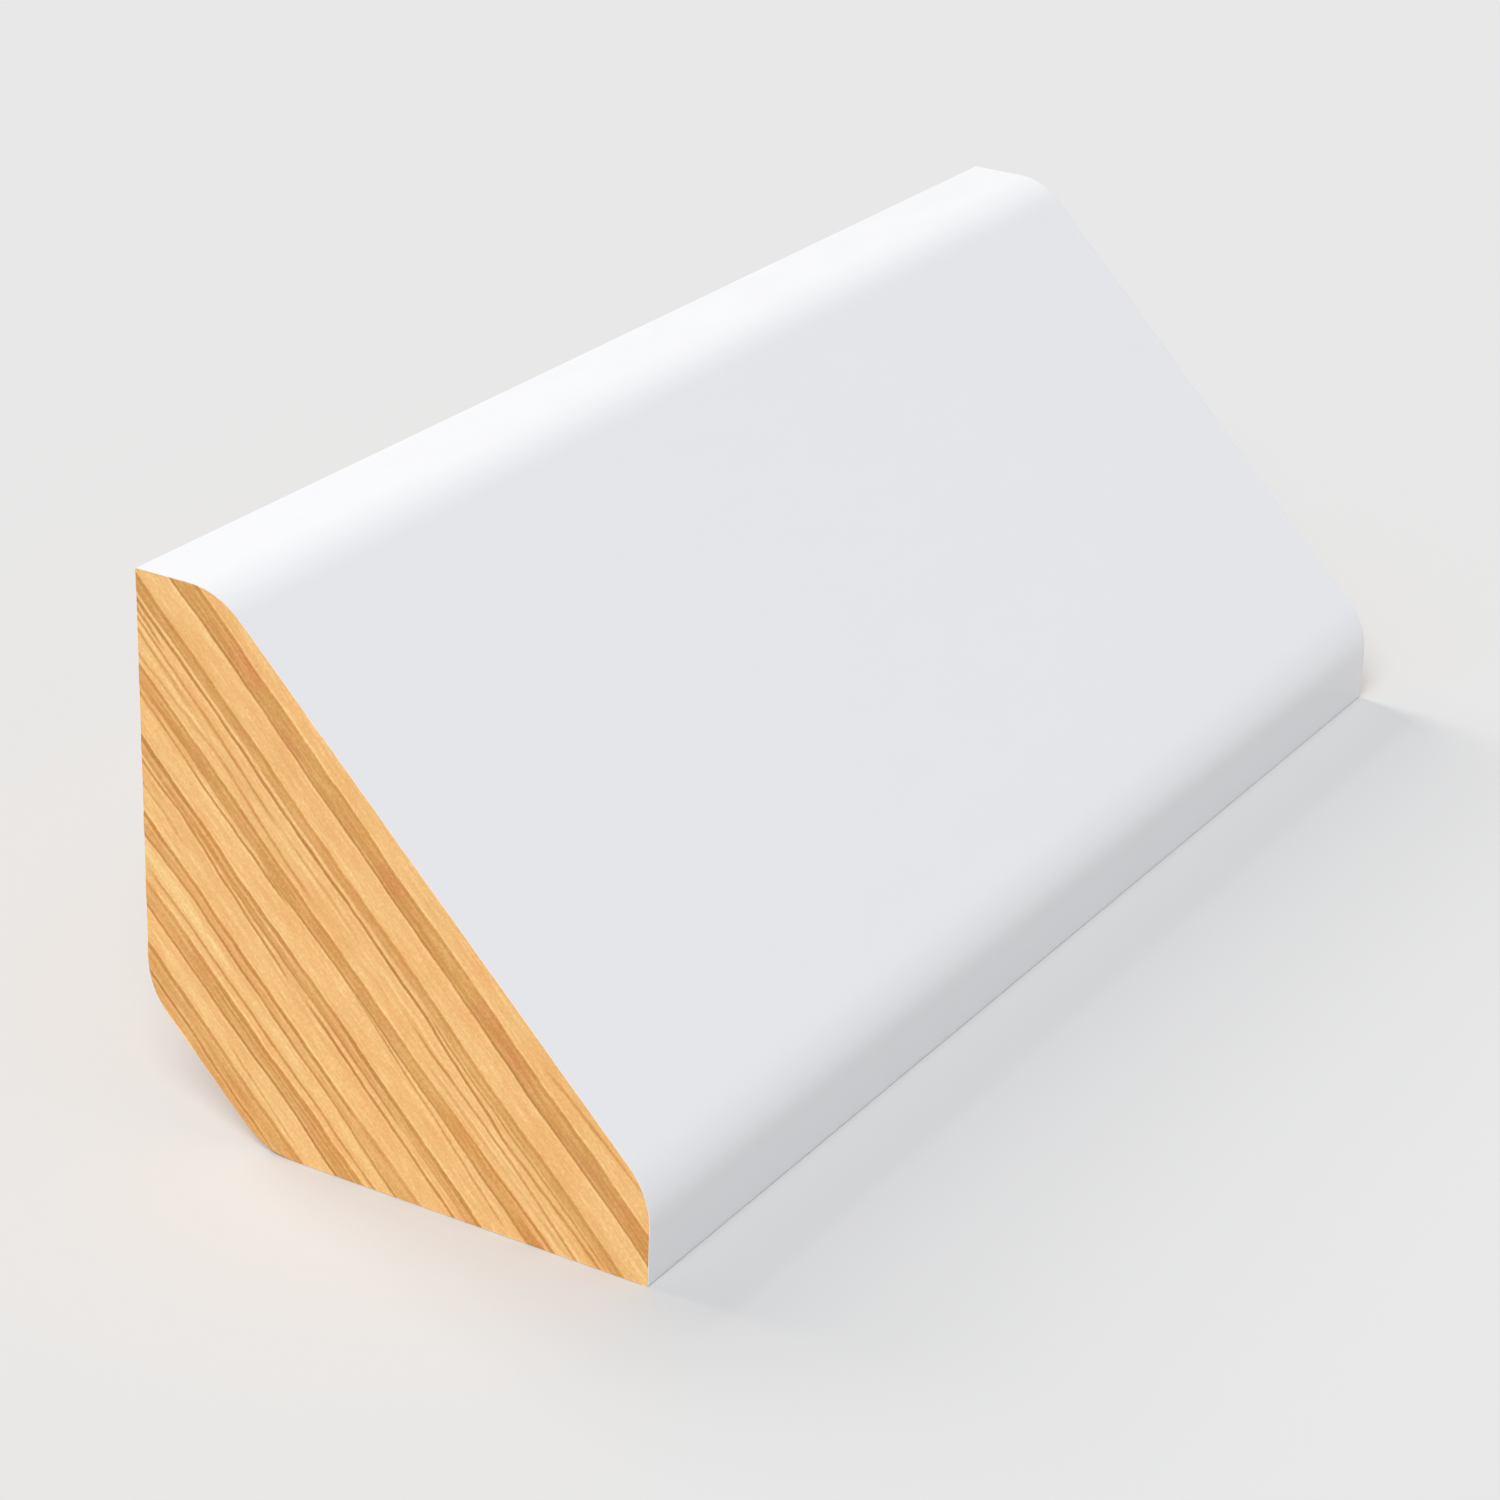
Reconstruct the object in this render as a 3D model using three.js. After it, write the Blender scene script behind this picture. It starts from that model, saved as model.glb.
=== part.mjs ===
import * as THREE from "three";

// A short length of triangle moulding, machined from one solid strip of softwood.
// Lengths are in millimetres, +Z is up.
// X runs along the moulding, +Y points to the wall behind it.
// The origin lies under the middle of the piece, on its flat underside.

// driving dimensions
const WIDTH = 21; // front to back, along the floor
const HEIGHT = 21; // up the wall
const LENGTH = 60; // square cut to square cut
const TOP_FLAT = 3.5; // back edge to the slope, before rounding
const TOE_FLAT = 3.5; // underside to the slope, before rounding
const BACK_RELIEF = 5; // each leg of the bevel that clears the corner behind
const CORNER_RADIUS = 3; // the four blunt corners
const ARC_SEGMENTS = 16;

const BACK_Y = WIDTH / 2;
const TOE_Y = -WIDTH / 2;

// Corners of the section in order, each with its place and its radius.
// The back top edge and the toe's bottom edge stay sharp where they meet wall and floor.
const CORNERS = [
  { y: BACK_Y, z: HEIGHT, radius: 0 },
  { y: BACK_Y - TOP_FLAT, z: HEIGHT, radius: CORNER_RADIUS },
  { y: TOE_Y, z: TOE_FLAT, radius: CORNER_RADIUS },
  { y: TOE_Y, z: 0, radius: 0 },
  { y: BACK_Y - BACK_RELIEF, z: 0, radius: CORNER_RADIUS },
  { y: BACK_Y, z: BACK_RELIEF, radius: CORNER_RADIUS },
];

function directionTo(start, end) {
  const run = end.y - start.y;
  const rise = end.z - start.z;
  const distance = Math.hypot(run, rise);
  return { y: run / distance, z: rise / distance };
}

// The points of one corner: the corner itself, or the arc that rounds it.
function cornerPoints(before, corner, after) {
  if (corner.radius === 0) {
    return [[corner.y, corner.z]];
  }
  const back = directionTo(corner, before);
  const ahead = directionTo(corner, after);
  const halfAngle = Math.acos(back.y * ahead.y + back.z * ahead.z) / 2;
  const toTangent = corner.radius / Math.tan(halfAngle);
  const toCentre = corner.radius / Math.sin(halfAngle);
  const inward = directionTo({ y: 0, z: 0 }, { y: back.y + ahead.y, z: back.z + ahead.z });
  const centre = {
    y: corner.y + inward.y * toCentre,
    z: corner.z + inward.z * toCentre,
  };
  const first = Math.atan2(
    corner.z + back.z * toTangent - centre.z,
    corner.y + back.y * toTangent - centre.y,
  );
  const last = Math.atan2(
    corner.z + ahead.z * toTangent - centre.z,
    corner.y + ahead.y * toTangent - centre.y,
  );
  const turn = Math.atan2(Math.sin(last - first), Math.cos(last - first));
  const points = [];
  for (let step = 0; step <= ARC_SEGMENTS; step += 1) {
    const angle = first + (turn * step) / ARC_SEGMENTS;
    points.push([
      centre.y + corner.radius * Math.cos(angle),
      centre.z + corner.radius * Math.sin(angle),
    ]);
  }
  return points;
}

function sectionShape() {
  const count = CORNERS.length;
  const outline = CORNERS.flatMap((corner, index) =>
    cornerPoints(CORNERS[(index + count - 1) % count], corner, CORNERS[(index + 1) % count]),
  );
  return new THREE.Shape(outline.map(([y, z]) => new THREE.Vector2(y, z)));
}

function buildMoulding() {
  const geometry = new THREE.ExtrudeGeometry(sectionShape(), {
    depth: LENGTH,
    steps: 1,
    bevelEnabled: false,
  });
  const timber = new THREE.MeshStandardMaterial({ color: 0xe6e7e9, roughness: 0.45 });
  const moulding = new THREE.Mesh(geometry, timber);
  moulding.name = "moulding";
  // The section's axes turn onto Y and Z, and the extrusion onto X.
  moulding.rotation.set(Math.PI / 2, Math.PI / 2, 0);
  moulding.position.x = -LENGTH / 2;
  return moulding;
}

const part = new THREE.Group();
part.add(buildMoulding());

export default part;
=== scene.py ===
"""Looks for a short length of white-coated triangle moulding: timber, coating, floor, light and camera."""
import math

import bpy
import numpy as np
from mathutils import Matrix, Vector


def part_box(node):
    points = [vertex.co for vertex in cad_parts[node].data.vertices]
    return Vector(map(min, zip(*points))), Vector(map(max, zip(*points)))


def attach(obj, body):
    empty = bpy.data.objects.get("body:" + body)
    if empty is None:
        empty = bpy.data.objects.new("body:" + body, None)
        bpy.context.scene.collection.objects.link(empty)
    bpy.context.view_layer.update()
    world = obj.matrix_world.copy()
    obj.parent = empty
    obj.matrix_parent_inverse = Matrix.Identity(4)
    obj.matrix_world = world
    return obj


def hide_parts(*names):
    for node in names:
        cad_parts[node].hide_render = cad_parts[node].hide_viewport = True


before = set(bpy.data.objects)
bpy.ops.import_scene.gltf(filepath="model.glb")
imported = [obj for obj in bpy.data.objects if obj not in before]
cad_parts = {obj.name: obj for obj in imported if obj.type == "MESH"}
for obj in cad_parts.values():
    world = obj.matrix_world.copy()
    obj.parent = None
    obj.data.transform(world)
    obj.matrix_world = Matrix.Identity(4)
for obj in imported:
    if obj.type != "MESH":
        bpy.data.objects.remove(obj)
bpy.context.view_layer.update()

# Lengths are in millimetres unless a name says otherwise; the scene itself is in metres.
MM = 0.001

# The section. Its outer size comes from the frame, and it is as high as it is deep.
LOW, HIGH = (np.array(corner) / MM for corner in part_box("moulding"))
LENGTH, DEPTH, _ = HIGH - LOW
FLAT = 3.5  # top flat and toe flat, before rounding
BACK_RELIEF = 5.0
CORNER_RADIUS = 3.0
ARRIS_RADIUS = 0.05  # wear on the two sharp long edges
CUT_EASE = 0.025  # wear on the edges of the saw cuts
COAT_THICKNESS = 0.02
COAT_LIFT = 0.01  # how deep the coating reaches into the timber under it

# Mesh spacing
ROW_STEP = 0.1  # across the rings
COLUMNS = 120  # along the rings
ARC_STEPS = 14  # round a blunt corner
ARRIS_STEPS = 6  # round a sharp long edge
STATION_STEP = 1.5  # along the moulding
FIRST_STATION = 0.4  # from the cut
# Loops nearer the cut: how far from it they lie and how far they are eased, as shares of CUT_EASE
CUT_LOOPS = ((0.0, 1.0), (0.3, 0.35), (1.0, 0.0), (3.0, 0.0))
SHARP_ANGLE = math.radians(30)
TOUCHING = 1e-6  # points this close to a plane lie on it

# Texture map, as shares of its width
CUT_MAP_WIDTH = 0.38
MAP_GAP = 0.004
HIDDEN_SHARE = 0.02  # room for a hidden side, against the same length of a bare one

# Growth rings: they cross the section nearly parallel to the slope.
RING_TILT = math.radians(1.0)
# How they wander: by how much, wavelengths along the moulding, along and across the rings, and seed
RING_WAVES = (
    (0.04, (160, 18, 9), 3),
    (0.025, (60, 5, 4), 8),
)
WAVE_COUNT = 14
WAVE_SPREAD = 0.6  # keeps nearly all of a sum of waves between -1 and 1
EARLYWOOD_RECESS = 0.025  # on the cuts
PLANED_SHARE = 0.6  # how much of that recess the planed sides have
# Dark latewood bands: from, to and darkness from 0 to 1. Places count from the back corner to the slope.
BANDS = (
    (3.55, 4.72, 0.30),
    (5.88, 6.60, 0.31),
    (7.78, 8.28, 0.24),
    (9.78, 10.22, 0.34),
    (11.60, 12.18, 0.42),
    (14.02, 14.42, 0.36),
    (15.66, 16.40, 0.48),
)
# Paler and yellower rings, and rings full of faint streaks: middle, half width and strength
PALE_RINGS = ((7.35, 0.50, 1.0), (5.25, 0.50, 0.6), (12.95, 0.60, 0.4))
STREAKED_RINGS = ((13.10, 0.95, 1.0), (9.70, 0.60, 0.7), (6.70, 1.00, 0.8), (4.30, 0.60, 0.6))
# Dark lines in the rings: where each starts and ends, its thickness and its darkness.
# Starts and ends are pairs: place along the rings, from the top to the toe, and place across them.
LINES = (
    ((-16, 16.38), (16, 16.36), 0.16, 0.72),
    ((-16, 15.68), (16, 15.68), 0.12, 0.95),
    ((7.5, 16.98), (11.5, 17.30), 0.12, 0.38),
    ((-16, 14.40), (16, 14.36), 0.16, 0.62),
    ((-16, 13.84), (3, 13.76), 0.13, 1.00),
    ((3, 13.76), (8, 13.53), 0.12, 0.85),
    ((8, 13.53), (14, 13.70), 0.11, 0.60),
    ((4, 13.90), (13, 13.92), 0.10, 0.55),
    ((-15, 13.68), (-13, 13.56), 0.14, 0.75),
    ((-14, 13.38), (-6, 13.18), 0.12, 0.50),
    ((-14, 13.08), (-10.5, 12.96), 0.14, 0.35),
    ((-3.5, 13.26), (-1, 13.18), 0.14, 0.25),
    ((-12.5, 12.45), (-8, 12.72), 0.14, 0.35),
    ((-8, 12.72), (-3, 12.50), 0.14, 0.40),
    ((4, 13.03), (9, 13.18), 0.12, 0.50),
    ((9, 13.18), (13, 12.98), 0.12, 0.50),
    ((5, 12.56), (12, 12.78), 0.14, 0.26),
    ((-14, 12.14), (4, 12.14), 0.14, 0.70),
    ((4, 12.14), (14, 12.40), 0.14, 0.66),
    ((-3.4, 11.54), (0, 11.66), 0.11, 0.80),
    ((0, 11.66), (13, 11.68), 0.12, 0.85),
    ((-12.5, 11.42), (-8, 11.31), 0.10, 0.65),
    ((-8, 11.31), (-3.6, 11.42), 0.11, 1.00),
    ((1.5, 11.56), (9.8, 11.18), 0.10, 0.50),
    ((-12, 10.20), (12, 10.20), 0.17, 0.92),
    ((-6.5, 9.93), (-3, 9.98), 0.12, 0.50),
    ((-10.5, 9.60), (-7.5, 9.70), 0.12, 0.72),
    ((-7.5, 9.70), (-1.5, 9.43), 0.11, 0.85),
    ((-4, 9.74), (5, 9.78), 0.11, 0.68),
    ((1, 9.47), (10, 9.40), 0.12, 0.88),
    ((-9, 9.04), (-7.4, 9.02), 0.12, 0.35),
    ((-9, 8.25), (4, 8.25), 0.14, 0.90),
    ((4, 8.25), (9, 8.38), 0.17, 0.45),
    ((-8, 7.72), (-4.5, 7.86), 0.14, 0.72),
    ((-4.5, 7.86), (3, 7.80), 0.14, 0.78),
    ((3, 7.80), (8, 7.64), 0.12, 0.68),
    ((-6, 6.90), (-1, 7.02), 0.11, 0.50),
    ((-1, 7.02), (7, 7.00), 0.11, 0.60),
    ((-6, 6.45), (7, 6.62), 0.19, 0.70),
    ((-3, 6.28), (6.5, 6.40), 0.12, 0.50),
    ((-6, 5.79), (-2, 5.85), 0.12, 0.80),
    ((-2, 5.85), (2, 6.00), 0.13, 0.95),
    ((2, 6.00), (6, 5.86), 0.14, 0.88),
    ((0.5, 5.20), (3.2, 5.05), 0.10, 0.45),
    ((-5, 4.72), (5, 4.70), 0.17, 0.66),
    ((-4, 4.06), (0, 3.97), 0.14, 1.00),
    ((0, 3.97), (3.2, 3.97), 0.13, 0.80),
)
LINE_SOFTNESS = 0.09  # width of the soft edge of a line or band
LINE_FADE = 1.2  # how far a line takes to fade out past its ends
HIGHLIGHT_WIDTH = 0.16  # width of the painted highlight beside the darkest lines
HIGHLIGHTED_FROM = 0.7  # darkness from which a line gets a painted highlight beside it

# Camera: the photograph's angle, with its roll
CAMERA_TARGET = (-3.2, 1.9, 6.5)
CAMERA_DISTANCE = 158.8
CAMERA_AZIMUTH = math.radians(-59.76)
CAMERA_ELEVATION = math.radians(24.45)
CAMERA_ROLL = math.radians(2.02)
CAMERA_LENS = 96.65
SENSOR_WIDTH = 36.0
NEAR_CLIP = 0.001  # metres
FAR_CLIP = 10.0  # metres


# Section outline

def straight_run(start, end):
    """Points between start and end, without the ends. A side crosses the rings at 45 degrees."""
    count = max(1, round(float(np.linalg.norm(end - start)) / (ROW_STEP * math.sqrt(2))))
    return [start + (end - start) * step / count for step in range(1, count)]


def side_outline():
    """The toe side of the section, from the slope round to the back bevel.

    Gives places as (depth from the wall, height), outward directions, and how many points are coated.
    """
    # Each corner: where its sides would meet, the directions it turns between, its radius and steps
    corners = (
        ((DEPTH, FLAT), 45, 0, CORNER_RADIUS, ARC_STEPS),
        ((DEPTH, 0.0), 0, -90, ARRIS_RADIUS, ARRIS_STEPS),
        ((BACK_RELIEF, 0.0), -90, -135, CORNER_RADIUS, ARC_STEPS),
    )
    places = []
    outward = []
    coated = 0
    for corner, first, last, radius, steps in corners:
        angles = np.radians(np.linspace(first, last, steps + 1))
        directions = np.column_stack((np.cos(angles), np.sin(angles)))
        both = directions[0] + directions[-1]
        centre = np.array(corner) - radius * both / (1 + directions[0] @ directions[-1])
        arc = centre + radius * directions
        if places:
            run = straight_run(places[-1], arc[0])
            places += run
            outward += [directions[0]] * len(run)
        places += list(arc)
        outward += list(directions)
        if radius == ARRIS_RADIUS:
            # The coating ends at the arris, and the bare underside starts from the same place.
            coated = len(places)
            places.append(arc[-1])
            outward.append(directions[-1])
    return np.array(places), np.array(outward), coated


SIDE, SIDE_OUT, COATED = side_outline()
ROWS = len(SIDE) - 1
SLOPE_OUT = np.array((1.0, 1.0)) / math.sqrt(2)


def mirrored(points):
    """The same points on the top and back side: the section is symmetrical about its diagonal."""
    return points[:, ::-1]


def row_between(left, right):
    share = np.linspace(0, 1, COLUMNS + 1)[:, None]
    return left + (right - left) * share


def inset_side(coat_inset, all_round):
    """The side outline moved inwards: by coat_inset where it is coated, and by all_round everywhere."""
    inset = np.full(len(SIDE), float(all_round))
    inset[:COATED] += coat_inset
    return SIDE - SIDE_OUT * inset[:, None]


def loop_outline(side):
    """The closed outline from one side: slope, toe side, back bevel, then back and top."""
    other = mirrored(side)
    slope = row_between(other[0], side[0])
    bevel = row_between(side[-1], other[-1])
    return np.vstack((slope, side[1:-1], bevel, other[-2:0:-1]))


def stations():
    """Places along the moulding, closer together at the cuts."""
    reach = LENGTH / 2 - FIRST_STATION
    inner = np.linspace(-reach, reach, round(LENGTH / STATION_STEP))
    near = -LENGTH / 2 + np.array([distance for distance, _ in CUT_LOOPS]) * CUT_EASE
    return np.concatenate((near, inner, -near[::-1]))


def to_frame(x, section):
    """Places in the part's frame, in millimetres, from places along it and (depth, height) pairs."""
    section = np.asarray(section)
    x = np.broadcast_to(x, section.shape[:1])
    return np.column_stack((x, DEPTH / 2 - section[:, 0], section[:, 1]))


# Grain

def wander(points, lengths, seed):
    """Smooth wandering of about -1 to 1, with the given wavelengths along each axis."""
    draw = np.random.RandomState(seed)
    total = np.zeros(len(points))
    for _ in range(WAVE_COUNT):
        direction = draw.normal(size=3)
        phase = draw.uniform(0, 2 * math.pi)
        total += np.cos(points @ (direction * 2 * math.pi / np.array(lengths)) + phase)
    return total * math.sqrt(2 / WAVE_COUNT) * WAVE_SPREAD


def ring_place(points):
    """How far each point lies from the back corner towards the slope, counted across the rings."""
    depth = DEPTH / 2 - points[:, 1]
    height = points[:, 2]
    outwards = (depth + height) / math.sqrt(2)
    across = (depth - height) / math.sqrt(2)
    place = outwards * math.cos(RING_TILT) + across * math.sin(RING_TILT)
    grain = np.column_stack((points[:, 0], across, outwards))
    for amount, lengths, seed in RING_WAVES:
        place += amount * wander(grain, lengths, seed)
    return place


def band_share(place):
    """Share of dense latewood at each ring place, from 0 to 1."""
    total = np.zeros(len(place))
    for start, end, _ in BANDS:
        inside = np.minimum(place - start, end - place)
        total = np.maximum(total, np.clip(inside / ROW_STEP, 0, 1))
    return total


# Meshes

def new_piece(name, points, faces, material):
    mesh = bpy.data.meshes.new(name)
    mesh.from_pydata([tuple(point * MM) for point in points], [], faces)
    mesh.validate()
    mesh.materials.append(material)
    mesh.shade_smooth()
    mesh.set_sharp_from_angle(angle=SHARP_ANGLE)
    piece = bpy.data.objects.new(name, mesh)
    bpy.context.scene.collection.objects.link(piece)
    return piece


def tube_faces(loop_size, loops):
    """Quads between neighbouring closed loops of points."""
    faces = []
    for loop in range(loops - 1):
        start = loop * loop_size
        for step in range(loop_size):
            ahead = (step + 1) % loop_size
            faces.append((start + step, start + ahead, start + loop_size + ahead, start + loop_size + step))
    return faces


def cap_rim(row, column):
    """Where a rim point of the cap's grid sits in the outline loop, or None inside it."""
    if row == 0:
        return column
    if row == ROWS:
        return COLUMNS + ROWS + (COLUMNS - column)
    if column == COLUMNS:
        return COLUMNS + row
    if column == 0:
        return 2 * COLUMNS + ROWS + (ROWS - row)
    return None


def cap_grid(loop, first_loop, next_point, turned):
    """A cut end as a grid of rows along the rings: its inner section points and its faces."""
    inner = []
    index = np.empty((ROWS + 1, COLUMNS + 1), int)
    for row in range(ROWS + 1):
        left = loop[cap_rim(row, 0)]
        right = loop[cap_rim(row, COLUMNS)]
        line = row_between(left, right)
        for column in range(COLUMNS + 1):
            rim = cap_rim(row, column)
            if rim is None:
                index[row, column] = next_point + len(inner)
                inner.append(line[column])
            else:
                index[row, column] = first_loop + rim
    faces = []
    for row in range(ROWS):
        for column in range(COLUMNS):
            corners = (
                index[row, column],
                index[row + 1, column],
                index[row + 1, column + 1],
                index[row, column + 1],
            )
            faces.append(tuple(int(corner) for corner in (corners[::-1] if turned else corners)))
    return np.array(inner), faces


def build_timber(material):
    places = stations()
    loops = []
    outlines = []
    for number, x in enumerate(places):
        from_cut = min(number, len(places) - 1 - number, len(CUT_LOOPS) - 1)
        ease = CUT_LOOPS[from_cut][1] * CUT_EASE
        outline = loop_outline(inset_side(COAT_THICKNESS, ease))
        outlines.append(outline)
        loops.append(to_frame(x, outline))
    size = len(loops[0])
    faces = tube_faces(size, len(loops))
    points = list(loops)
    count = size * len(loops)
    for end, first_loop in ((0, 0), (-1, size * (len(loops) - 1))):
        inner, cap_faces = cap_grid(outlines[end], first_loop, count, turned=end == -1)
        points.append(to_frame(places[end], inner))
        count += len(inner)
        faces += cap_faces
    points = np.vstack(points)
    rings = ring_place(points)
    recess_cuts(points, rings)
    recess_bare_sides(points, rings, size * len(loops), size)
    piece = new_piece("moulding_timber", points, faces, material)
    attribute = piece.data.attributes.new("ring_place", "FLOAT", "POINT")
    attribute.data.foreach_set("value", rings.astype(np.float32))
    map_timber(piece.data, points, outlines[len(outlines) // 2], places)
    return piece


def bare_steps():
    """Which points of the outline loop lie on the bare underside, bevel and back."""
    bare = np.zeros(2 * (COLUMNS + ROWS), bool)
    bare[COLUMNS + COATED + 2:2 * COLUMNS + 2 * ROWS - COATED - 1] = True
    return bare


def side_map(outline, places):
    """Where the corners of the sides' faces lie on the texture map: beside the cuts."""
    size = len(outline)
    around = np.vstack((outline, outline[:1]))
    steps = np.linalg.norm(np.diff(around, axis=0), axis=1)
    steps *= np.where(bare_steps(), 1.0, HIDDEN_SHARE)
    turn = np.concatenate(((0.0,), np.cumsum(steps))) / steps.sum()
    along = (places - places[0]) / (places[-1] - places[0])
    face = np.arange(size * (len(places) - 1))[:, None]
    u = CUT_MAP_WIDTH + (1 - CUT_MAP_WIDTH) * turn[face % size + np.array((0, 1, 1, 0))]
    v = along[face // size + np.array((0, 0, 1, 1))]
    return np.column_stack((u.ravel(), v.ravel()))


def cut_map(points):
    """Where points of the two cuts lie on the texture map: one cut above the other."""
    depth = DEPTH / 2 - points[:, 1]
    outwards = depth + points[:, 2]
    across = depth - points[:, 2]
    u = (outwards - outwards.min()) / np.ptp(outwards) * (CUT_MAP_WIDTH - MAP_GAP)
    v = (across - across.min()) / np.ptp(across) * (0.5 - MAP_GAP) + 0.5 * (points[:, 0] > 0)
    return np.column_stack((u, v))


def map_timber(mesh, points, outline, places):
    """A flat map of the timber for its textures, with most room for the cuts."""
    sides = side_map(outline, places)
    corners = np.empty(len(mesh.loops), np.int32)
    mesh.loops.foreach_get("vertex_index", corners)
    cuts = cut_map(points[corners[len(sides):]])
    layer = mesh.uv_layers.new(name="OFBake")
    layer.uv.foreach_set("vector", np.vstack((sides, cuts)).astype(np.float32).ravel())


def recess_cuts(points, rings):
    """On the cuts the soft earlywood lies a little below the hard latewood."""
    at_cut = np.abs(np.abs(points[:, 0]) - LENGTH / 2) < TOUCHING
    recess = EARLYWOOD_RECESS * (1 - band_share(rings[at_cut]))
    points[at_cut, 0] -= np.sign(points[at_cut, 0]) * recess


def recess_bare_sides(points, rings, tube_points, size):
    """The planed back, bevel and underside show the rings as faint ridges."""
    bare = bare_steps()
    outline_out = loop_directions()
    for start in range(0, tube_points, size):
        span = slice(start, start + size)
        soft = EARLYWOOD_RECESS * PLANED_SHARE * (1 - band_share(rings[span])) * bare
        points[span, 1] += outline_out[:, 0] * soft
        points[span, 2] -= outline_out[:, 1] * soft


def loop_directions():
    """Outward directions of the outline loop, as (depth, height)."""
    slope = np.tile(SLOPE_OUT, (COLUMNS + 1, 1))
    return np.vstack((slope, SIDE_OUT[1:-1], -slope, mirrored(SIDE_OUT)[-2:0:-1]))


def coat_path(inset):
    """The coated stretch of the outline, from the back arris over the slope to the toe arris."""
    side = SIDE[:COATED] - SIDE_OUT[:COATED] * inset
    other = mirrored(side)
    return np.vstack((other[:0:-1], row_between(other[0], side[0]), side[1:]))


def build_coat(material):
    """The coating: a thin closed skin over the top, the slope and the toe."""
    outer = coat_path(0.0)
    inner = coat_path(COAT_THICKNESS + COAT_LIFT)
    reach = LENGTH / 2 - EARLYWOOD_RECESS
    loops = []
    for x in np.unique(np.clip(stations(), -reach, reach)):
        loops.append(to_frame(x, np.vstack((outer, inner[::-1]))))
    size = len(loops[0])
    faces = tube_faces(size, len(loops))
    half = len(outer)
    for first, turned in ((0, False), (size * (len(loops) - 1), True)):
        for step in range(half - 1):
            corners = (
                first + step,
                first + size - 1 - step,
                first + size - 2 - step,
                first + step + 1,
            )
            faces.append(corners[::-1] if turned else corners)
    return new_piece("moulding_coat", np.vstack(loops), faces, material)


# Materials

def from_screen(red, green, blue):
    """A colour as a screen shows it, 0 to 255, turned into light."""
    light = []
    for value in (red, green, blue):
        share = value / 255
        light.append(share / 12.92 if share <= 0.04045 else ((share + 0.055) / 1.055) ** 2.4)
    return (*light, 1.0)


class Shading:
    """One material and short calls that add its nodes."""

    def __init__(self, name):
        self.material = bpy.data.materials.new(name)
        self.material.use_nodes = True
        self.tree = self.material.node_tree
        self.tree.nodes.clear()
        self.surface = self.tree.nodes.new("ShaderNodeBsdfPrincipled")
        output = self.tree.nodes.new("ShaderNodeOutputMaterial")
        self.tree.links.new(self.surface.outputs["BSDF"], output.inputs["Surface"])

    def feed(self, socket, value):
        if isinstance(value, bpy.types.NodeSocket):
            self.tree.links.new(value, socket)
        else:
            socket.default_value = value

    def node(self, kind, settings=(), **inputs):
        made = self.tree.nodes.new("ShaderNode" + kind)
        for name, value in dict(settings).items():
            setattr(made, name, value)
        for name, value in inputs.items():
            self.feed(made.inputs[name.replace("_", " ")], value)
        return made

    def math(self, operation, *values):
        made = self.tree.nodes.new("ShaderNodeMath")
        made.operation = operation
        for socket, value in zip(made.inputs, values):
            self.feed(socket, value)
        return made.outputs["Value"]

    def vector(self, operation, *values):
        made = self.tree.nodes.new("ShaderNodeVectorMath")
        made.operation = operation
        for socket, value in zip(made.inputs, values):
            self.feed(socket, value)
        return made.outputs["Vector"]

    def ramp(self, value, start, end, low=0.0, high=1.0):
        """A smooth step from low at start to high at end."""
        made = self.node("MapRange", {"interpolation_type": "SMOOTHSTEP"}, Value=value)
        limits = {"From Min": start, "From Max": end, "To Min": low, "To Max": high}
        for name, limit in limits.items():
            made.inputs[name].default_value = limit
        return made.outputs["Result"]

    def colours(self, value, stops):
        """A run of colours along a value from 0 to 1."""
        made = self.tree.nodes.new("ShaderNodeValToRGB")
        elements = made.color_ramp.elements
        for number, (position, colour) in enumerate(stops):
            element = elements[number] if number < len(elements) else elements.new(position)
            element.position = position
            element.color = colour
        self.feed(made.inputs["Fac"], value)
        return made.outputs["Color"]

    def noise(self, vector, scales, detail, roughness):
        """Noise with its own scale along each axis, from 0 to 1."""
        stretched = self.vector("MULTIPLY", vector, scales)
        made = self.node("TexNoise", Vector=stretched, Scale=1.0, Detail=detail, Roughness=roughness)
        return made.outputs["Fac"]

    def mix(self, share, first, second, blend="MIX"):
        made = self.tree.nodes.new("ShaderNodeMix")
        made.data_type = "RGBA"
        made.blend_type = blend
        colours = [socket for socket in made.inputs if socket.type == "RGBA"]
        self.feed(made.inputs["Factor"], share)
        self.feed(colours[0], first)
        self.feed(colours[1], second)
        return next(socket for socket in made.outputs if socket.type == "RGBA")

    def bump(self, height, strength, depth):
        """Fine relief on the surface, with its depth in millimetres."""
        made = self.node("Bump", Strength=strength, Distance=depth * MM, Height=height)
        self.feed(self.surface.inputs["Normal"], made.outputs["Normal"])


# Timber colours as they look on a screen, from bright earlywood to dark latewood
PLAIN_TONE = 0.16
TIMBER_TONES = (
    (0.00, from_screen(243, 203, 138)),
    (PLAIN_TONE, from_screen(231, 182, 117)),
    (0.55, from_screen(203, 149, 80)),
    (1.00, from_screen(177, 126, 59)),
)
WARM_TINT = (0.985, 0.91, 0.86, 1.0)
PALE_TINT = (1.02, 1.10, 1.14, 1.0)
RED_TINT = (1.0, 0.90, 1.02, 1.0)

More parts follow.
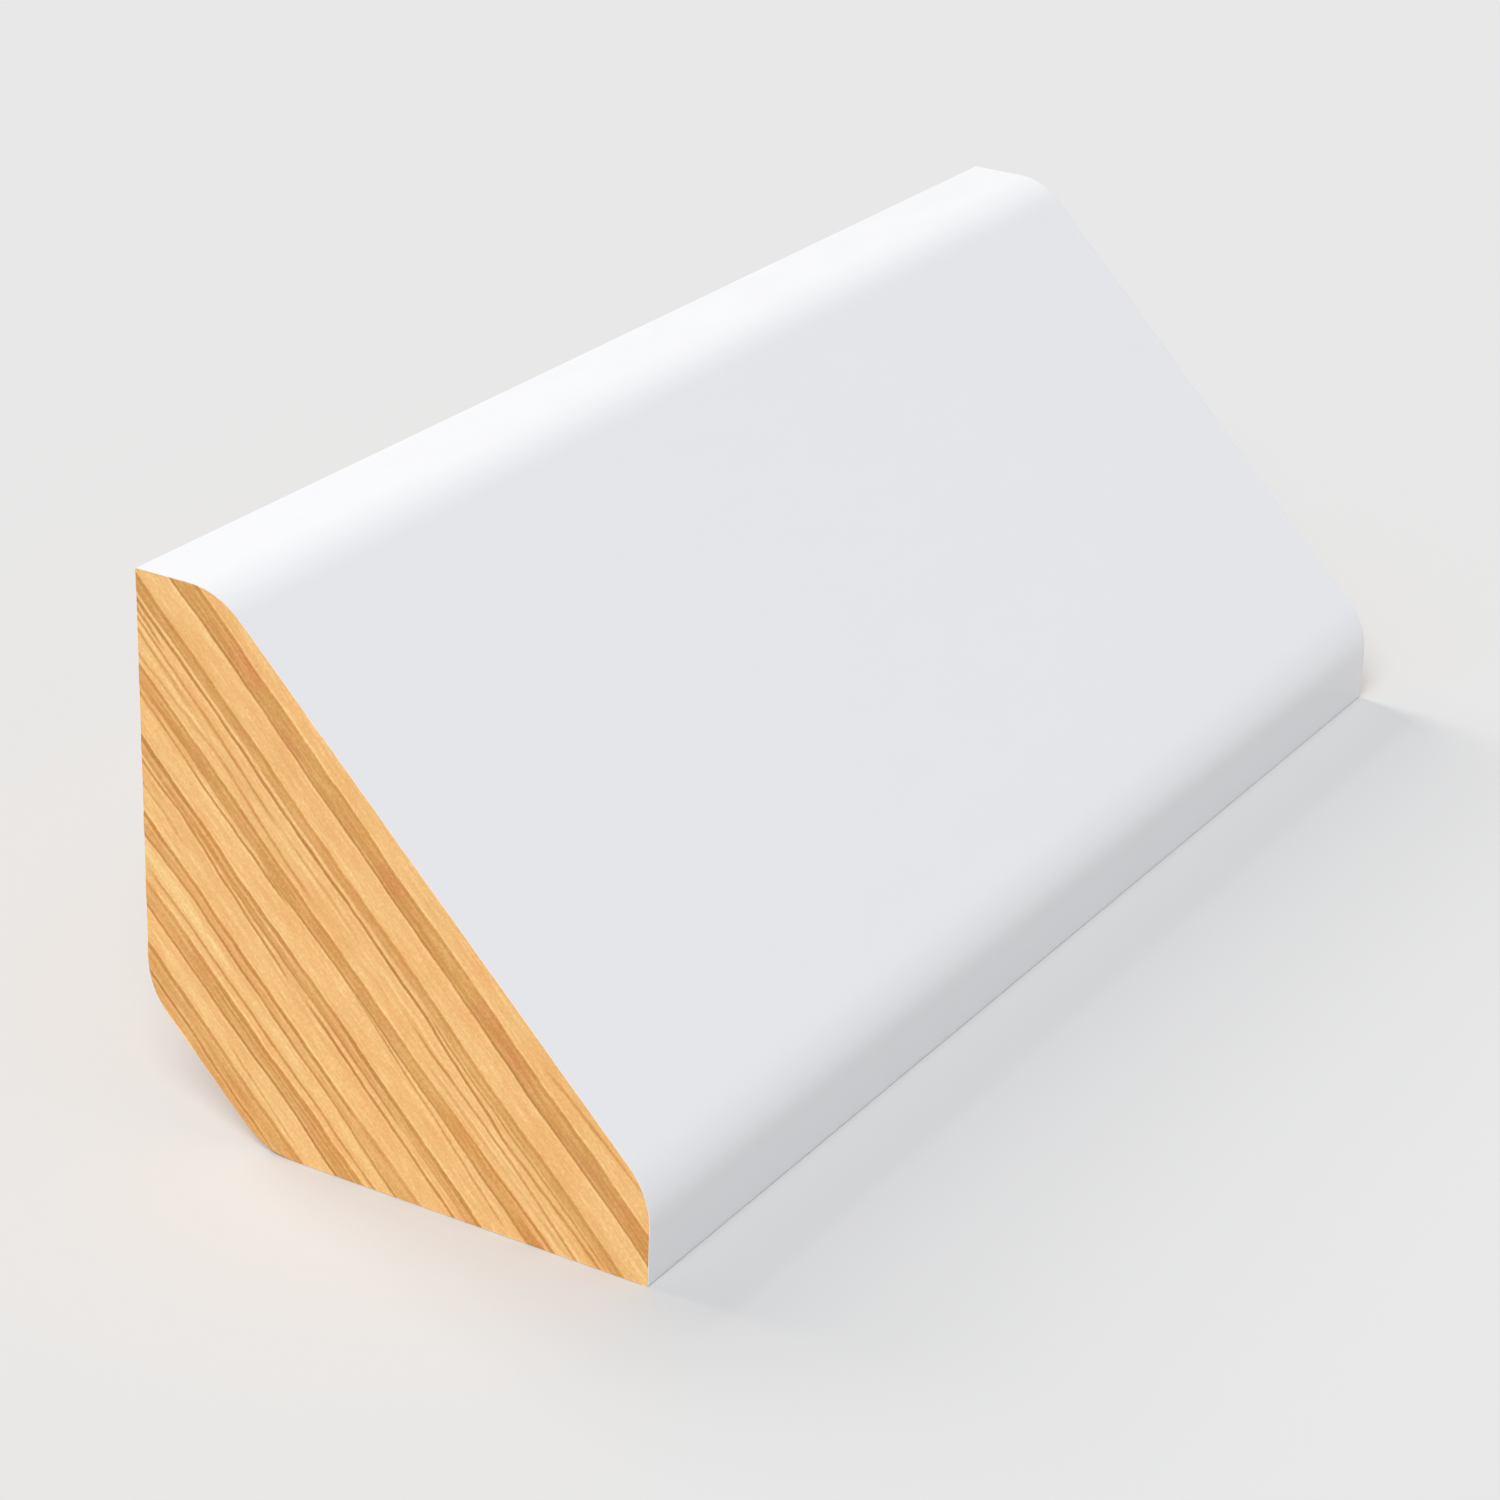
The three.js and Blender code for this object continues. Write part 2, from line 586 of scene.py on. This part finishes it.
# Noises in the grain: scales per millimetre across the rings, along the rings and along the moulding,
# then the noise's detail and roughness
SLOW_WARP = ((0.9, 0.25, 0.02), 2.0, 0.5)
QUICK_WARP = ((3.0, 1.6, 0.05), 3.0, 0.6)
LINE_DRIFT = ((0.9, 0.35, 0.02), 2.0, 0.5)
BAND_STREAKS = ((5.0, 0.30, 0.03), 3.0, 0.6)
FAINT_STREAKS = ((5.5, 0.22, 0.02), 2.0, 0.6)
BUNDLES = ((2.6, 0.12, 0.02), 5.0, 0.7)
FIBRES = ((9.0, 1.1, 0.10), 3.0, 0.6)
SPECKLE = ((9.0, 7.0, 1.0), 2.0, 0.7)
WARMTH = ((0.8, 0.25, 0.03), 3.0, 0.5)
REDNESS = ((0.6, 0.45, 0.03), 3.0, 0.5)

WARP_HEIGHT = 0.10  # how far each warp can move a ring, in millimetres
# How a noise darkens or lightens: noise from and to, and the share of the darkness at each
LINE_FADING = (0.3, 0.7, 0.80, 1.10)
BAND_FADING = (0.35, 0.65, 0.70, 1.22)
# How far each thing moves the tone
# Painted highlight: a lighter tone beside the darkest lines
HIGHLIGHT_AMOUNT = -0.8 * PLAIN_TONE
BUNDLE_AMOUNT = 0.45
FIBRE_AMOUNT = 0.40
SPECKLE_AMOUNT = 0.42
LATEWOOD_SPECKLE = 0.45  # added where the wood is dark
STREAK_AMOUNT = 0.55
# Where the tints set in: noise from and to, and for the red also darkness from and to
WARM_RANGE = (0.40, 0.65)
RED_RANGE = (0.50, 0.70)
RED_DARKNESS = (0.2, 0.5)

EARLYWOOD_ROUGHNESS = 0.72
LATEWOOD_ROUGHNESS = 0.55
TIMBER_SPECULAR = 0.3
FIBRE_BUMP = 0.5
FIBRE_DEPTH = 0.03

COAT_COLOUR = (0.783, 0.785, 0.800, 1.0)
# Noises in the coating: scales per metre along the moulding and both ways across it, then as above
PEEL = ((300.0, 900.0, 900.0), 2.0, 0.5)
BRUSH_LINES = ((30.0, 2500.0, 2500.0), 2.0, 0.5)
BRUSH_SHARE = 0.4
COAT_GLOSS = (0.3, 0.7, 0.40, 0.48)  # noise from and to, and the roughness at each
COAT_BUMP = 0.08
COAT_DEPTH = 0.02

FLOOR_GREY = (0.622, 0.622, 0.622, 1.0)
FLOOR_ROUGHNESS = 0.9


def grain_axes(shading):
    """Millimetres across the rings, along the rings and along the moulding."""
    place = shading.node("Attribute", {"attribute_name": "ring_place"}).outputs["Fac"]
    coordinates = shading.node("TexCoord").outputs["Object"]
    split = shading.node("SeparateXYZ", Vector=coordinates)
    both = shading.math("ADD", split.outputs["Y"], split.outputs["Z"])
    per_length = 1 / MM / math.sqrt(2)
    across = shading.math("MULTIPLY_ADD", both, -per_length, DEPTH / 2 / math.sqrt(2))
    along = shading.math("MULTIPLY", split.outputs["X"], 1 / MM)
    return place, across, along


def edge_ramp(shading, off, half, high):
    """High within half of the middle, and nothing beyond it, with a narrow soft edge."""
    return shading.ramp(off, half - LINE_SOFTNESS / 2, half + LINE_SOFTNESS / 2, high, 0.0)


def dark_line(shading, place, across, line):
    """One dark line and a painted highlight beside it, both fading out past its two ends."""
    (first, first_place), (last, last_place), thickness, dark = line
    lean = (last_place - first_place) / (last - first)
    middle = shading.math("MULTIPLY_ADD", across, lean, first_place - lean * first)
    off = shading.math("ABSOLUTE", shading.math("SUBTRACT", place, middle))
    beyond = shading.math("ABSOLUTE", shading.math("SUBTRACT", across, (first + last) / 2))
    half = (last - first) / 2
    present = shading.ramp(beyond, half, half + LINE_FADE, 1.0, 0.0)
    core = shading.math("MULTIPLY", edge_ramp(shading, off, thickness / 2, dark), present)
    if dark < HIGHLIGHTED_FROM:
        return core, None
    painted_highlight = shading.ramp(off, thickness / 2, thickness / 2 + HIGHLIGHT_WIDTH, dark, 0.0)
    return core, shading.math("MULTIPLY", painted_highlight, present)


def add_noise(shading, value, noise, amount):
    """The value moved up and down by the noise."""
    return shading.math("MULTIPLY_ADD", shading.math("SUBTRACT", noise, 0.5), amount, value)


def ring_tones(shading, place, across, grain):
    """Latewood darkness and painted highlights beside the darkest lines, both from 0 to 1."""
    for warp in (SLOW_WARP, QUICK_WARP):
        place = add_noise(shading, place, shading.noise(grain, *warp), WARP_HEIGHT)
    bands = 0.0
    for start, end, dark in BANDS:
        off = shading.math("ABSOLUTE", shading.math("SUBTRACT", place, (start + end) / 2))
        bands = shading.math("MAXIMUM", bands, edge_ramp(shading, off, (end - start) / 2, dark))
    lines = 0.0
    painted_highlights = 0.0
    for line in LINES:
        core, painted_highlight = dark_line(shading, place, across, line)
        lines = shading.math("MAXIMUM", lines, core)
        if painted_highlight is not None:
            painted_highlights = shading.math("MAXIMUM", painted_highlights, painted_highlight)
    drift = shading.noise(grain, *LINE_DRIFT)
    lines = shading.math("MULTIPLY", lines, shading.ramp(drift, *LINE_FADING))
    streaks = shading.noise(grain, *BAND_STREAKS)
    bands = shading.math("MULTIPLY", bands, shading.ramp(streaks, *BAND_FADING))
    return shading.math("MAXIMUM", bands, lines), painted_highlights


def ring_zones(shading, place, zones):
    """How far each place belongs to one of the named rings, from 0 to 1."""
    share = 0.0
    for middle, half, strength in zones:
        off = shading.math("ABSOLUTE", shading.math("SUBTRACT", place, middle))
        share = shading.math("MAXIMUM", share, shading.ramp(off, 0.0, half, strength, 0.0))
    return share


def tinted(shading, colour, place, grain, dark):
    """The timber's colour with warmer patches, paler rings and redder stretches of the dark wood."""
    warm = shading.ramp(shading.noise(grain, *WARMTH), *WARM_RANGE)
    pale = ring_zones(shading, place, PALE_RINGS)
    red = shading.ramp(shading.noise(grain, *REDNESS), *RED_RANGE)
    red = shading.math("MULTIPLY", red, shading.ramp(dark, *RED_DARKNESS))
    for share, tint in ((warm, WARM_TINT), (pale, PALE_TINT), (red, RED_TINT)):
        colour = shading.mix(share, colour, tint, blend="MULTIPLY")
    return colour


def bare_timber():
    shading = Shading("bare_timber")
    place, across, along = grain_axes(shading)
    grain = shading.node("CombineXYZ", X=place, Y=across, Z=along).outputs["Vector"]
    dark, painted_highlights = ring_tones(shading, place, across, grain)
    fibres = shading.noise(grain, *FIBRES)
    speckle = shading.noise(grain, *SPECKLE)
    tone = shading.math("MULTIPLY_ADD", dark, 1 - PLAIN_TONE, PLAIN_TONE)
    # The painted highlight beside the darkest lines lightens the tone.
    tone = shading.math("MULTIPLY_ADD", painted_highlights, HIGHLIGHT_AMOUNT, tone)
    tone = add_noise(shading, tone, shading.noise(grain, *BUNDLES), BUNDLE_AMOUNT)
    tone = add_noise(shading, tone, fibres, FIBRE_AMOUNT)
    speckled = shading.math("MULTIPLY_ADD", dark, LATEWOOD_SPECKLE, SPECKLE_AMOUNT)
    tone = add_noise(shading, tone, speckle, speckled)
    streaked = shading.math("MULTIPLY", ring_zones(shading, place, STREAKED_RINGS), STREAK_AMOUNT)
    tone = add_noise(shading, tone, shading.noise(grain, *FAINT_STREAKS), streaked)
    colour = tinted(shading, shading.colours(tone, TIMBER_TONES), place, grain, dark)
    shading.feed(shading.surface.inputs["Base Color"], colour)
    rough = shading.ramp(dark, 0.0, 1.0, EARLYWOOD_ROUGHNESS, LATEWOOD_ROUGHNESS)
    shading.feed(shading.surface.inputs["Roughness"], rough)
    shading.surface.inputs["Specular IOR Level"].default_value = TIMBER_SPECULAR
    shading.bump(shading.math("ADD", fibres, speckle), FIBRE_BUMP, FIBRE_DEPTH)
    return shading.material


def white_coat():
    shading = Shading("white_coat")
    coordinates = shading.node("TexCoord").outputs["Object"]
    shading.surface.inputs["Base Color"].default_value = COAT_COLOUR
    peel = shading.noise(coordinates, *PEEL)
    brushed = shading.noise(coordinates, *BRUSH_LINES)
    shading.feed(shading.surface.inputs["Roughness"], shading.ramp(peel, *COAT_GLOSS))
    shading.bump(shading.math("MULTIPLY_ADD", brushed, BRUSH_SHARE, peel), COAT_BUMP, COAT_DEPTH)
    return shading.material


def pale_floor():
    shading = Shading("pale_floor")
    shading.surface.inputs["Base Color"].default_value = FLOOR_GREY
    shading.surface.inputs["Roughness"].default_value = FLOOR_ROUGHNESS
    shading.surface.inputs["Specular IOR Level"].default_value = 0.0
    return shading.material


# Studio

# The floor is a wide dish: flat in the middle, with a low rim that hides the horizon.
FLOOR_DROP = 0.003  # how far it lies below the underside
FLOOR_FLAT = 1500.0
FLOOR_REACH = 3000.0
RIM_HEIGHT = 160.0
RIM_STEPS = 12
FLOOR_SIDES = 96

SKY_STRENGTH = 0.43
COOL_LIGHT = (0.990, 1.0, 1.030)
WARM_LIGHT = (1.018, 1.0, 0.945)
# Lamps: name, azimuth, elevation, strength, spread and colour
LAMPS = (
    ("left_key", -72.4, 49, 2.47, 37, COOL_LIGHT),
    ("rear_fill", 173, 38.3, 1.39, 24, WARM_LIGHT),
)


def make_floor():
    points = [(0.0, 0.0, -FLOOR_DROP)]
    for step in range(RIM_STEPS + 1):
        share = step / RIM_STEPS
        reach = FLOOR_FLAT + (FLOOR_REACH - FLOOR_FLAT) * share
        height = RIM_HEIGHT * share ** 2 - FLOOR_DROP
        for side in range(FLOOR_SIDES):
            turn = 2 * math.pi * side / FLOOR_SIDES
            points.append((reach * math.cos(turn), reach * math.sin(turn), height))
    faces = [(0, 1 + side, 1 + (side + 1) % FLOOR_SIDES) for side in range(FLOOR_SIDES)]
    for face in tube_faces(FLOOR_SIDES, RIM_STEPS + 1):
        faces.append(tuple(1 + corner for corner in face[::-1]))
    new_piece("studio_floor", np.array(points), faces, pale_floor())


def direction(azimuth, elevation):
    """The direction from the part to a lamp or a camera. Azimuth 0 is on the slope's side."""
    flat = math.cos(elevation)
    return Vector((math.sin(azimuth) * flat, -math.cos(azimuth) * flat, math.sin(elevation)))


def add_lamp(name, azimuth, elevation, strength, spread, colour):
    """A distant soft lamp, with its angles in degrees."""
    lamp = bpy.data.lights.new(name, "SUN")
    lamp.energy = strength
    lamp.color = colour
    lamp.angle = math.radians(spread)
    holder = bpy.data.objects.new(name, lamp)
    towards = direction(math.radians(azimuth), math.radians(elevation))
    holder.rotation_mode = "QUATERNION"
    holder.rotation_quaternion = towards.to_track_quat("Z", "Y")
    holder.location = towards
    bpy.context.scene.collection.objects.link(holder)


def light_studio():
    world = bpy.data.worlds.new("studio")
    world.use_nodes = True
    background = world.node_tree.nodes["Background"]
    background.inputs["Color"].default_value = (1.0, 1.0, 1.0, 1.0)
    background.inputs["Strength"].default_value = SKY_STRENGTH
    bpy.context.scene.world = world
    for lamp in LAMPS:
        add_lamp(*lamp)


def make_camera():
    camera = bpy.data.cameras.new("camera")
    camera.lens = CAMERA_LENS
    camera.sensor_width = SENSOR_WIDTH
    camera.clip_start = NEAR_CLIP
    camera.clip_end = FAR_CLIP
    holder = bpy.data.objects.new("camera", camera)
    back = direction(CAMERA_AZIMUTH, CAMERA_ELEVATION)
    holder.location = (Vector(CAMERA_TARGET) + back * CAMERA_DISTANCE) * MM
    turn = back.to_track_quat("Z", "Y").to_matrix().to_4x4()
    roll = Matrix.Rotation(CAMERA_ROLL, 4, "Z")
    holder.matrix_world = Matrix.Translation(holder.location) @ turn @ roll
    bpy.context.scene.collection.objects.link(holder)
    bpy.context.scene.camera = holder


def main():
    timber = build_timber(bare_timber())
    coat = build_coat(white_coat())
    for piece, slot in ((timber, "bare_timber"), (coat, "white_paint")):
        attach(piece, "root")
    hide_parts("moulding")
    make_floor()
    light_studio()
    make_camera()
    bpy.context.scene.view_settings.view_transform = "Standard"


main()
